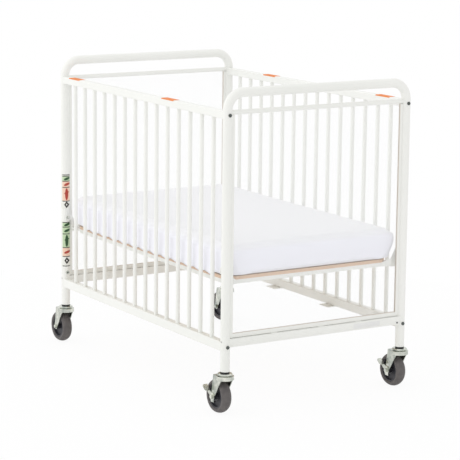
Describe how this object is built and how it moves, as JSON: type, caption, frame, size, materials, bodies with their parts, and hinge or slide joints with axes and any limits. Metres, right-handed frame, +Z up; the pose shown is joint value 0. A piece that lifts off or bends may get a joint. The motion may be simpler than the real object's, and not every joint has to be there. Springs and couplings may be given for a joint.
{
  "type": "evacuation crib",
  "caption": "Rolling crib with bent-tube ends that hold clear panels, slatted sides, a mattress on a support of settable height, and swivel casters with foot brakes at one end",
  "frame": {"origin": "on the floor, under the middle of the overall box", "axes": "+X runs along the crib to the end with the braked casters, +Y across it to the rear side, +Z up"},
  "size_m": [1.1258, 0.6942, 0.958],
  "materials": {
    "enamel": "smooth baked off-white enamel",
    "clear_sheet": "clear polished sheet",
    "gasket": "soft pale beige glazing strip",
    "zinc": "bright zinc plating",
    "dark_zinc": "dull dark bluish plating",
    "black_screw": "black oxide",
    "orange_marker": "plain orange tape, slightly satin",
    "bare_label": "bare white satin plate",
    "height_label": "satin film with plain colour bands",
    "black_plastic": "matte moulded plastic",
    "hub_black": "moulded hub, fine grain",
    "grey_rubber": "non-marking grey rubber",
    "board": "bare pressed board",
    "sheet": "white fitted cotton sheet"
  },
  "bodies": {
    "crib_frame": {"near_end_hoop": "enamel", "near_end_crossbar": "enamel", "near_end_upright_channels": "enamel", "near_end_bottom_channel": "enamel", "near_end_rail": "enamel", "near_end_gasket": "gasket", "near_end_clear_panel": "clear_sheet", "far_end_hoop": "enamel", "far_end_crossbar": "enamel", "far_end_upright_channels": "enamel", "far_end_bottom_channel": "enamel", "far_end_rail": "enamel", "far_end_gasket": "gasket", "far_end_clear_panel": "clear_sheet", "front_top_rail": "enamel", "front_bottom_rail": "enamel", "front_slats": "enamel", "front_rail_tabs": "enamel", "rear_top_rail": "enamel", "rear_bottom_rail": "enamel", "rear_slats": "enamel", "rear_rail_tabs": "enamel", "rail_plugs": "zinc", "rail_bolts": "dark_zinc", "marker_strips": "orange_marker", "label_plate": "bare_label", "end_rail_set_screw": "black_screw", "height_inserts": "zinc", "height_labels": "height_label", "caster_sockets": "black_plastic", "near_front_caster_stem": "zinc", "near_rear_caster_stem": "zinc", "far_front_caster_stem": "zinc", "far_rear_caster_stem": "zinc"},
    "mattress_support": {"support_end_angles": "enamel", "support_side_angles": "enamel", "support_corner_brackets": "enamel", "support_hanger_bolts": "zinc", "support_board": "board", "support_board_screws": "dark_zinc"},
    "mattress": {"mattress": "sheet"},
    "near_front_fork": {"near_front_caster_fork": "zinc", "near_front_caster_axle": "zinc"},
    "near_front_wheel": {"near_front_caster_hub": "hub_black", "near_front_caster_tread": "grey_rubber"},
    "near_front_brake": {"near_front_caster_brake_lever": "zinc"},
    "near_rear_fork": {"near_rear_caster_fork": "zinc", "near_rear_caster_axle": "zinc"},
    "near_rear_wheel": {"near_rear_caster_hub": "hub_black", "near_rear_caster_tread": "grey_rubber"},
    "near_rear_brake": {"near_rear_caster_brake_lever": "zinc"},
    "far_front_fork": {"far_front_caster_fork": "zinc", "far_front_caster_axle": "zinc"},
    "far_front_wheel": {"far_front_caster_hub": "hub_black", "far_front_caster_tread": "grey_rubber"},
    "far_rear_fork": {"far_rear_caster_fork": "zinc", "far_rear_caster_axle": "zinc"},
    "far_rear_wheel": {"far_rear_caster_hub": "hub_black", "far_rear_caster_tread": "grey_rubber"}
  },
  "joints": [
    {"name": "support_height", "type": "slide", "parent": "crib_frame", "child": "mattress_support", "axis": [0, 0, 1], "range_m": [-0.186, 0]},
    {"name": "mattress_lift", "type": "slide", "parent": "mattress_support", "child": "mattress", "axis": [0, 0, 1], "range_m": [0, 0.57]},
    {"name": "near_front_swivel", "type": "hinge", "parent": "crib_frame", "child": "near_front_fork", "pos_m": [0.5359, -0.30785, 0.113], "axis": [0, 0, 1], "continuous": true},
    {"name": "near_front_roll", "type": "hinge", "parent": "near_front_fork", "child": "near_front_wheel", "pos_m": [0.5039, -0.30785, 0.0508], "axis": [0, 1, 0], "continuous": true},
    {"name": "near_front_brake_press", "type": "hinge", "parent": "near_front_fork", "child": "near_front_brake", "pos_m": [0.5039, -0.30785, 0.0508], "axis": [0, 1, 0], "range_deg": [-22, 0]},
    {"name": "near_rear_swivel", "type": "hinge", "parent": "crib_frame", "child": "near_rear_fork", "pos_m": [0.5359, 0.32015, 0.113], "axis": [0, 0, 1], "continuous": true},
    {"name": "near_rear_roll", "type": "hinge", "parent": "near_rear_fork", "child": "near_rear_wheel", "pos_m": [0.5039, 0.32015, 0.0508], "axis": [0, 1, 0], "continuous": true},
    {"name": "near_rear_brake_press", "type": "hinge", "parent": "near_rear_fork", "child": "near_rear_brake", "pos_m": [0.5039, 0.32015, 0.0508], "axis": [0, 1, 0], "range_deg": [-22, 0]},
    {"name": "far_front_swivel", "type": "hinge", "parent": "crib_frame", "child": "far_front_fork", "pos_m": [-0.4801, -0.30785, 0.113], "axis": [0, 0, 1], "continuous": true},
    {"name": "far_front_roll", "type": "hinge", "parent": "far_front_fork", "child": "far_front_wheel", "pos_m": [-0.5121, -0.30785, 0.0508], "axis": [0, 1, 0], "continuous": true},
    {"name": "far_rear_swivel", "type": "hinge", "parent": "crib_frame", "child": "far_rear_fork", "pos_m": [-0.4801, 0.32015, 0.113], "axis": [0, 0, 1], "continuous": true},
    {"name": "far_rear_roll", "type": "hinge", "parent": "far_rear_fork", "child": "far_rear_wheel", "pos_m": [-0.5121, 0.32015, 0.0508], "axis": [0, 1, 0], "continuous": true}
  ]
}
